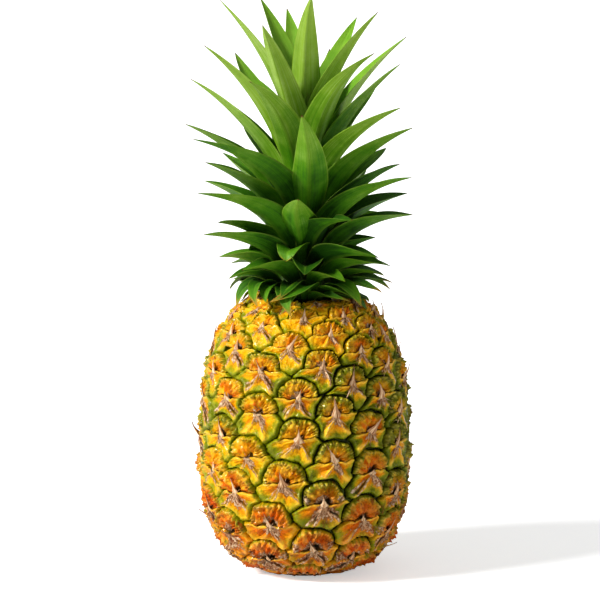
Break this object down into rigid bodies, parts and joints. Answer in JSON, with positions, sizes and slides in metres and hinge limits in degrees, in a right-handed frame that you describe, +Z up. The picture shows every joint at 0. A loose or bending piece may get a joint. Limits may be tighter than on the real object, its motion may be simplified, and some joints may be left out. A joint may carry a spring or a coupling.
{
  "type": "pineapple",
  "caption": "Whole ripe pineapple with its leafy crown; stands upright on its own flattened base, as display produce or a still-life prop",
  "frame": {"origin": "centre of the flattened base that the fruit stands on, on the cut face of its stalk", "axes": "+Z up along the fruit and its crown, front towards -Y, +X to the right seen from the front"},
  "size_m": [0.1334, 0.1472, 0.3471],
  "materials": {
    "rind": "waxy, knobbly",
    "leaf": "satin, finely ribbed",
    "stem": "fibrous",
    "stalk": "cut, dry"
  },
  "bodies": {
    "root": {"fruit_body": "rind", "stalk_stub": "stalk", "crown_stem": "stem", "leaf_10": "leaf", "leaf_11": "leaf", "leaf_12": "leaf", "leaf_13": "leaf", "leaf_14": "leaf", "leaf_15": "leaf", "leaf_16": "leaf", "leaf_17": "leaf", "leaf_18": "leaf", "leaf_19": "leaf", "leaf_20": "leaf", "leaf_22": "leaf", "leaf_24": "leaf", "leaf_25": "leaf", "leaf_26": "leaf", "leaf_27": "leaf", "leaf_28": "leaf", "leaf_29": "leaf", "leaf_30": "leaf", "leaf_31": "leaf", "leaf_32": "leaf", "leaf_33": "leaf", "leaf_34": "leaf", "leaf_35": "leaf", "leaf_36": "leaf", "leaf_37": "leaf", "leaf_38": "leaf", "leaf_39": "leaf", "leaf_40": "leaf", "leaf_42": "leaf", "leaf_43": "leaf", "leaf_44": "leaf", "leaf_45": "leaf", "leaf_46": "leaf", "leaf_47": "leaf", "leaf_48": "leaf", "leaf_49": "leaf", "leaf_50": "leaf", "leaf_53": "leaf", "leaf_54": "leaf", "leaf_55": "leaf", "leaf_56": "leaf", "leaf_57": "leaf", "leaf_58": "leaf", "leaf_59": "leaf", "leaf_60": "leaf", "leaf_61": "leaf", "leaf_62": "leaf", "leaf_63": "leaf", "leaf_64": "leaf", "leaf_65": "leaf", "leaf_66": "leaf", "leaf_67": "leaf", "leaf_68": "leaf", "leaf_69": "leaf", "leaf_70": "leaf", "leaf_71": "leaf"}
  },
  "joints": []
}
